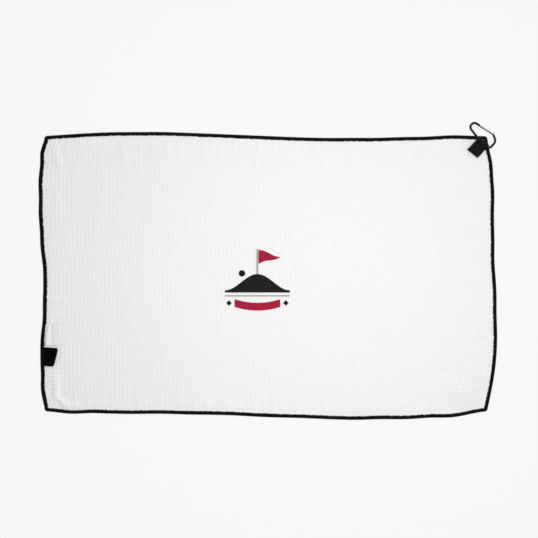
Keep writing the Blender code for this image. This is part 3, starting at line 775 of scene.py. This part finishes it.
def thread_tube(points, half_width, half_height, across, sides_round=5):
    """A closed thread along (point, share of thickness) pairs."""
    places = []
    for index, (point, share) in enumerate(points):
        ahead = points[min(index + 1, len(points) - 1)][0] - points[max(index - 1, 0)][0]
        places.append(placed(point, ahead, across, half_width * share, half_height * share))
    return sweep(round_ring(sides_round), places)


def mesh_of(name, bm):
    """A mesh to copy from, with its normals facing out."""
    bmesh.ops.recalc_face_normals(bm, faces=bm.faces[:])
    mesh = bpy.data.meshes.new(name)
    bm.to_mesh(mesh)
    bm.free()
    return mesh


def add_copy(bm, mesh, place):
    """Add a placed copy of a small mesh."""
    copy = mesh.copy()
    copy.transform(place)
    bm.from_mesh(copy)
    bpy.data.meshes.remove(copy)


loop_points = []
for index, (reach, height, share) in enumerate(LOOP_PATH):
    lean = LOOP_SLANT * (0.5 - index / (len(LOOP_PATH) - 1))
    loop_points.append((Vector((reach, lean, height)), share))
loop_mesh = mesh_of("overlock_loop", thread_tube(loop_points, LOOP_HALF_WIDTH, LOOP_HALF_HEIGHT,
                                                 Vector((0, 1, 0))))
print("one loop:", len(loop_mesh.polygons), "faces")

# %% Needle thread
NEEDLE_STITCH = 2.5 * MM
NEEDLE_PLACE = 0.74 * EDGE_WIDTH     # in from the edge
NEEDLE_HEIGHT = 2.2 * MM
needle_points = [(Vector((0, y * MM, z * MM)), share) for y, z, share in
                 ((-1.3, -0.25, 0.5), (-0.7, 0.10, 1), (0.0, 0.18, 1), (0.7, 0.10, 1), (1.3, -0.25, 0.5))]
needle_mesh = mesh_of("needle_stitch", thread_tube(needle_points, 0.28 * MM, 0.24 * MM,
                                                   Vector((1, 0, 0))))


# %% Wrap the four sides
def seam_place(line, distance, inward_turn):
    """The matrix at a distance along a side, with local X pointing into the towel."""
    point, ahead = along_line(line, distance)
    inward = Vector((-ahead.y, ahead.x)) * inward_turn
    side_on = Vector((-inward.y, inward.x))
    turn = Matrix(((inward.x, side_on.x, 0), (inward.y, side_on.y, 0), (0, 0, 1))).to_4x4()
    return point, inward, turn


for side, inward_turn in (("bottom", 1), ("right", 1), ("top", -1), ("left", -1)):
    line = lines[side]
    bm = bmesh.new()
    wider = LEFT_WIDER if side == "left" else 1.0
    run = line[1][-1] - 2 * CORNER_START
    count = round(run / LOOP_PITCH)
    for step in range(count):
        distance = CORNER_START + run * (step + 0.5) / count
        point, inward, turn = seam_place(line, distance, inward_turn)
        height = lift(point + inward * EDGE_WIDTH / 2)
        reach = dice.choice((0.88, 0.95, 1.0, 1.02, 1.03)) * dice.uniform(0.97, 1.03) * wider
        size = Matrix.Diagonal((reach, dice.uniform(0.92, 1.08), dice.uniform(0.96, 1.03), 1))
        lean = Matrix.Rotation(dice.uniform(-0.02, 0.02), 4, "Z")
        add_copy(bm, loop_mesh, Matrix.Translation((*point, height)) @ turn @ lean @ size)
    for centre, level_out, upright_out, level, upright in rounds:
        if side != level:
            continue
        turn_angle = level_out.angle_signed(upright_out)
        fan = round(abs(turn_angle) * CORNER_ROUND / LOOP_PITCH) + 2
        for step in range(fan + 1):
            outward = Matrix.Rotation(-turn_angle * step / fan, 2) @ level_out
            inward = -outward
            turn = Matrix(((inward.x, -inward.y, 0), (inward.y, inward.x, 0), (0, 0, 1))).to_4x4()
            point = centre + outward * CORNER_ROUND
            size = Matrix.Diagonal((dice.uniform(0.86, 0.98), 0.95, dice.uniform(0.97, 1.04), 1))
            add_copy(bm, loop_mesh, Matrix.Translation((*point, lift(point))) @ turn @ size)
    count = round(line[1][-1] / NEEDLE_STITCH)
    for step in range(2, count - 2):
        distance = line[1][-1] * (step + 0.5) / count
        point, inward, turn = seam_place(line, distance, inward_turn)
        spot = point + inward * (NEEDLE_PLACE * wider)
        add_copy(bm, needle_mesh, Matrix.Translation((*spot, lift(spot) + NEEDLE_HEIGHT)) @ turn)
    finish_piece("overlock_" + side, bm, thread_finish, "overlock_thread", "towel",
                                  "edging_" + side, sharp=80)

# %% [markdown]
# ## Webbing tab
#
# The tab is one strap folded round the straight back of the carabiner and sewn down through both
# leaves.  Its section is swept along the fold.  The ribs of a woven strap come from both ways:
# the section is ribbed across its width, and its thickness changes slightly from step to step.

# %% Tab frame and path
STRAP_HALF_THICKNESS = 0.52 * MM
FOLD_AIR = 0.3 * MM
RIB_PITCH = 0.62 * MM

swing = frame["joints"][0]
spine = Vector(swing["pos_m"])
spine_way = Vector(swing["axis"]).normalized()
out_way = Vector((0, 0, 1)).cross(spine_way)
tab_frame = Matrix.Translation(spine) @ Matrix((spine_way, out_way, (0, 0, 1))).transposed().to_4x4()
tab_local = [tab_frame.inverted() @ v.co for v in frame["nodes"]["webbing_tab"].data.vertices]
tab_half_width = max(point.x for point in tab_local)
tab_end = min(point.y for point in tab_local)
print("tab is", round(2 * tab_half_width / MM, 1), "mm wide and reaches", round(-tab_end / MM, 1), "mm")

fold_radius = ROD_RADIUS + FOLD_AIR + 0.5 * MM
lower_z = 2.62 * MM - spine.z
upper_z = lower_z + 1.12 * MM
knots = [
    (tab_end + 0.1 * MM, lower_z),
    (tab_end + 4.0 * MM, lower_z),
    (-9.0 * MM, lower_z + 0.1 * MM),
    (-4.0 * MM, -fold_radius - 0.05 * MM),
]
for step in range(9):
    angle = -math.pi / 2 + math.pi * step / 8
    knots.append((fold_radius * math.cos(angle), fold_radius * math.sin(angle)))
knots += [
    (-2.1 * MM, fold_radius - 0.75 * MM),
    (-4.2 * MM, fold_radius - 2.6 * MM),
    (-6.4 * MM, upper_z + 0.15 * MM),
    (-9.5 * MM, upper_z + 0.2 * MM),
    (-13.5 * MM, upper_z + 0.2 * MM),
    (tab_end + 2.6 * MM, upper_z),
    (tab_end + 0.1 * MM, upper_z + 0.06 * MM),
]
tab_line = smooth_line([Vector(knot) for knot in knots], 8)
print("strap is", round(tab_line[1][-1] / MM, 1), "mm long round its fold")

# %% Sweep the strap
ASKEW = 1.6 * MM               # the sewn end was not set square: one corner reaches further


def askew(local):
    """A point of the tab with its sewn end turned a little."""
    share = ease((-9 * MM - local.y) / (10 * MM))
    local.y -= ASKEW * share * (1 - local.x / tab_half_width) / 2
    return local


strap_ring = bmesh.new()
columns = 24
rim = []
for side in (1, -1):
    for column in range(columns + 1):
        across = side * (1 - 2 * column / columns)
        rib = 0.14 if column % 2 else -0.06
        selvedge = 0.10 if abs(across) > 0.93 else 0.0
        rim.append(strap_ring.verts.new((across, side * (0.9 + rib + selvedge), 0)))
for start, end in zip(rim, rim[1:] + rim[:1]):
    strap_ring.edges.new((start, end))

steps = round(tab_line[1][-1] / RIB_PITCH)
places = []
for step in range(steps + 1):
    point, ahead = along_line(tab_line, tab_line[1][-1] * step / steps)
    swell = 1.12 if step % 2 else 0.88
    centre = Vector((0, point.x, point.y))
    places.append(tab_frame @ placed(centre, Vector((0, ahead.x, ahead.y)), Vector((1, 0, 0)),
                                     tab_half_width, STRAP_HALF_THICKNESS * swell))
bm = sweep(strap_ring, places)
for vert in bm.verts:
    vert.co = tab_frame @ askew(tab_frame.inverted() @ vert.co)
strap = finish_piece("webbing_strap", bm, webbing_finish, "black_webbing",
                     "towel", "webbing_tab", sharp=60)

# %% Lockstitches through both leaves
STITCH = 2.0 * MM
STITCH_MARGIN = 2.4 * MM
stitch_points = [(Vector((x * MM, 0, z * MM)), share) for x, z, share in
                 ((-0.95, -0.30, 0.6), (-0.6, 0.08, 1), (0.0, 0.16, 1.05), (0.6, 0.08, 1),
                  (0.95, -0.30, 0.6))]
stitch_mesh = mesh_of("lockstitch", thread_tube(stitch_points, 0.30 * MM, 0.24 * MM,
                                                Vector((0, 1, 0)), 6))
bm = bmesh.new()
run = 2 * (tab_half_width - STITCH_MARGIN)
for node in ("tab_stitching_end", "tab_stitching_fold"):
    row = [(tab_frame.inverted() @ v.co).y for v in frame["nodes"][node].data.vertices]
    row_y = (min(row) + max(row)) / 2
    count = round(run / STITCH)
    for step in range(count):
        x = run * ((step + 0.5) / count - 0.5)
        height = upper_z + STRAP_HALF_THICKNESS + 0.12 * MM
        spot = askew(Vector((x, row_y, height)))
        add_copy(bm, stitch_mesh, tab_frame @ Matrix.Translation(spot))
stitches = finish_piece("tab_lockstitches", bm, thread_finish, "overlock_thread", "towel",
                        "tab_stitching_end", "tab_stitching_fold", sharp=80)

# %% [markdown]
# ## Labels
#
# Two labels are caught under the left overlock.  The black one is a woven tape folded in two, and
# its fold stays a little open.  The white one is a single satin tape that springs up from the
# seam, dips to the cloth and runs on flat to a narrow hem.  Both are swept tapes: a flat ring
# follows the tape's side view, and narrows where the corners are rounded.


# %% Label helper
def label_frame(name):
    """Where a label's root lies: the joint's place, with local X along the label."""
    joint = next(j for j in frame["joints"] if j["name"] == name)
    root = Vector(joint["pos_m"])
    root_way = -Vector(joint["axis"]).normalized()
    reach_way = root_way.cross(Vector((0, 0, 1)))
    return Matrix.Translation(root) @ Matrix((reach_way, root_way, (0, 0, 1))).transposed().to_4x4()


TAPE_COLUMNS = 10


def flat_ring(columns):
    """A thin ring across a tape, from side to side and back."""
    bm = bmesh.new()
    rim = []
    for side in (1, -1):
        for column in range(columns + 1):
            across = side * (1 - 2 * column / columns)
            rim.append(bm.verts.new((across, side * (1.0 if abs(across) < 0.99 else 0.55), 0)))
    for start, end in zip(rim, rim[1:] + rim[:1]):
        bm.edges.new((start, end))
    return bm


def tape(knots, steps, half_width, half_thickness, place, narrowing):
    """Sweep a tape along its side view; narrowing gives its share of full width at a point."""
    line = smooth_line([Vector(knot) * MM for knot in knots], 8)
    places = []
    for step in range(steps + 1):
        point, ahead = along_line(line, line[1][-1] * step / steps)
        centre = Vector((point.x, 0, point.y))
        width = half_width * narrowing(point.x)
        places.append(place @ placed(centre, Vector((ahead.x, 0, ahead.y)), Vector((0, 1, 0)),
                                     width, half_thickness))
    return sweep(flat_ring(TAPE_COLUMNS), places)


def box_in(node, place):
    """Lowest and highest corner of a node in a label's own frame."""
    points = [place.inverted() @ v.co for v in frame["nodes"][node].data.vertices]
    return [Vector([pick(point[axis] for point in points) for axis in range(3)]) for pick in (min, max)]


# %% Black folded label
LABEL_CORNER = 3.2 * MM
fold_place = label_frame("side_label_lift")
side_low, side_high = box_in("side_label", fold_place)
side_reach = side_high.x / MM
side_half = (side_high.y - side_low.y) / 2


def side_narrowing(x):
    """Rounded corners at the folded end."""
    into = max(x - (side_high.x - LABEL_CORNER), 0.0)
    return 1 - (LABEL_CORNER - math.sqrt(max(LABEL_CORNER ** 2 - into ** 2, 0.0))) * 0.8 / side_half


side_knots = [(-1.2, -1.0), (4, -0.66), (9, -0.70), (side_reach - 2.2, -0.62), (side_reach - 0.7, -0.25),
              (side_reach - 0.15, 0.55), (side_reach - 0.75, 1.30), (side_reach - 2.4, 1.45),
              (9, 0.85), (4, 0.12), (1.0, -0.1), (-1.2, -0.55)]
FOLD_SLANT = 0.14             # the fold was not made square: one side reaches further
bm = tape(side_knots, 64, side_half, 0.19 * MM, fold_place, side_narrowing)
for vert in bm.verts:
    local = fold_place.inverted() @ vert.co
    local.x *= 1 + FOLD_SLANT * local.y / side_half
    vert.co = fold_place @ local
folded_label = finish_piece("folded_side_label", bm, damask, "black_label_tape", "side_label",
                            "side_label", sharp=60)

# %% White satin label
care_place = label_frame("care_label_lift")
care_low, care_high = box_in("care_label", care_place)
care_reach = care_high.x / MM
care_half = (care_high.y - care_low.y) / 2
VALLEY = 8.4 * MM               # where the tape comes down to the cloth
CREST_SLANT = 1.9 * MM         # the crest runs askew, nearer the seam at the lower side
care_knots = [(-1.2, -1.1), (0.1, -0.85), (1.1, -0.3), (2.2, 0.6), (3.3, 1.05), (4.6, 1.1),
              (6.4, 0.42), (8.4, -0.22), (10, -0.1), (12.5, 0.25), (15.5, 0.30),
              (care_reach - 2.5, -0.05), (care_reach - 0.5, -0.18), (care_reach, 0.05),
              (care_reach - 0.5, 0.30), (care_reach - 2.0, 0.40), (care_reach - 3.2, 0.46)]
bm = tape(care_knots, 90, care_half, 0.17 * MM, care_place, lambda x: 1.0)
for vert in bm.verts:
    local = care_place.inverted() @ vert.co
    if 0 < local.x < VALLEY:
        local.x += CREST_SLANT * local.y / care_half * math.sin(math.pi * local.x / VALLEY)
    vert.co = care_place @ local
care_label = finish_piece("satin_care_label", bm, satin, "white_satin_tape", "care_label",
                          "care_label", sharp=60)
print("labels reach", round(side_reach, 1), "and", round(care_reach, 1), "mm over the cloth")

# %% [markdown]
# ## Embroidered emblem
#
# The emblem is a plain golf motif: a flag on a hill, a ball, a rule and a band between two
# diamonds.  Satin stitch fills each field with parallel threads.  A field starts as one flat face
# with its own outline, an inset makes its rounded shoulder, and a row of plane cuts divides it
# into threads, every second cut standing a little higher than the next.

# %% A satin-stitched field
THREAD_PITCH = 0.7 * MM        # real thread is 0.4 mm; drawn coarser so that it shows
SHOULDER = 0.55 * MM
FIELD_BASE = 1.9 * MM          # sunk among the waffle ridges
FIELD_SHOULDER = 2.25 * MM
FIELD_CROWN = 2.62 * MM
THREAD_RISE = 0.11 * MM


def satin_field(name, outline, thread_turn, finish, slot):
    """A raised field of parallel threads inside an outline of (x, y) points."""
    bm = bmesh.new()
    face = bm.faces.new([bm.verts.new((x, y, 0)) for x, y in outline])
    bmesh.ops.inset_region(bm, faces=[face], thickness=SHOULDER, use_even_offset=True)
    for vert in bm.verts:
        vert.co.z = FIELD_SHOULDER if vert.is_boundary else FIELD_CROWN
    across = Vector((-math.sin(thread_turn), math.cos(thread_turn), 0))
    spots = [vert.co.dot(across) for vert in bm.verts]
    low = min(spots)
    cuts = max(2, round((max(spots) - low) / (THREAD_PITCH / 2)))
    for cut in range(1, cuts):
        level = low + (max(spots) - low) * cut / cuts
        split = bmesh.ops.bisect_plane(bm, geom=bm.verts[:] + bm.edges[:] + bm.faces[:], dist=HAIR / 10,
                                       plane_co=across * level, plane_no=across)
        rise = THREAD_RISE if cut % 2 else -THREAD_RISE
        for item in split["geom_cut"]:
            if isinstance(item, bmesh.types.BMVert):
                item.co.z += rise
    top = bm.faces[:]
    walls = bmesh.ops.extrude_face_region(bm, geom=top)
    sunk = [item for item in walls["geom"] if isinstance(item, bmesh.types.BMVert)]
    for vert in sunk:
        vert.co.z = FIELD_BASE
    for vert in bm.verts:
        vert.co.z += lift(vert.co.xy)
    return finish_piece(name, bm, finish, slot, "towel", "emblem_" + name.split("_", 1)[1], sharp=55)


def field_box(node):
    """Lowest x and y, and highest x and y, of an emblem field."""
    low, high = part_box(node)
    return low.x, low.y, high.x, high.y


def rectangle(node):
    """The outline of a straight-sided field."""
    x0, y0, x1, y1 = field_box(node)
    return [(x0, y0), (x1, y0), (x1, y1), (x0, y1)]


# %% Emblem outlines
HILL_FOOT = 0.12               # share of the hill's height that it keeps at both ends
BAND_SAG = 5 * MM
PENNANT_WAVE = 1.2 * MM
UP = math.pi / 2

x0, y0, x1, y1 = field_box("emblem_hill")
hill = [(x0, y0), (x1, y0)]
for step in range(49):
    share = step / 48
    rise = HILL_FOOT + (1 - HILL_FOOT) * (0.5 - 0.5 * math.cos(2 * math.pi * share))
    hill.append((x1 + (x0 - x1) * share, y0 + (y1 - y0) * rise))
fields = [satin_field("satin_hill", hill, UP, black_rayon, "black_embroidery")]

fields.append(satin_field("satin_flagstick", rectangle("emblem_flagstick"), 0.0, grey_rayon,
                          "grey_embroidery"))

x0, y0, x1, y1 = field_box("emblem_pennant")
mid = (y0 + y1) / 2
shares = [step / 10 for step in range(11)]
waves = [PENNANT_WAVE * math.sin(2 * math.pi * share) for share in shares]
lower = [(x0 + (x1 - x0) * s, y0 + (mid - y0) * s + w) for s, w in zip(shares, waves)]
upper = [(x0 + (x1 - x0) * s, y1 + (mid - y1) * s + w) for s, w in zip(shares, waves)]
fields.append(satin_field("satin_pennant", lower + upper[-2::-1], UP, crimson_rayon,
                          "crimson_embroidery"))

x0, y0, x1, y1 = field_box("emblem_ball")
turns = [2 * math.pi * step / 28 for step in range(28)]
middle = Vector((x0 + x1, y0 + y1)) / 2
radius = (x1 - x0) / 2
ball = [(middle.x + radius * math.cos(a), middle.y + radius * math.sin(a)) for a in turns]
fields.append(satin_field("satin_ball", ball, 0.6, black_rayon, "black_embroidery"))

fields.append(satin_field("satin_rule", rectangle("emblem_rule"), UP, grey_rayon, "grey_embroidery"))

x0, y0, x1, y1 = field_box("emblem_band")
shares = [step / 16 - 1 for step in range(33)]
middle = (x0 + x1) / 2
lower = [(middle + (x1 - middle) * s, y0 + BAND_SAG * s * s) for s in shares]
upper = [(middle + (x1 - middle) * s, y1 - BAND_SAG * (1 - s * s)) for s in shares[::-1]]
fields.append(satin_field("satin_band", lower + upper, UP, crimson_rayon, "crimson_embroidery"))

for node in ("diamond_left", "diamond_right"):
    x0, y0, x1, y1 = field_box("emblem_" + node)
    diamond = [((x0 + x1) / 2, y0), (x1, (y0 + y1) / 2), ((x0 + x1) / 2, y1), (x0, (y0 + y1) / 2)]
    fields.append(satin_field("satin_" + node, diamond, UP, black_rayon, "black_embroidery"))
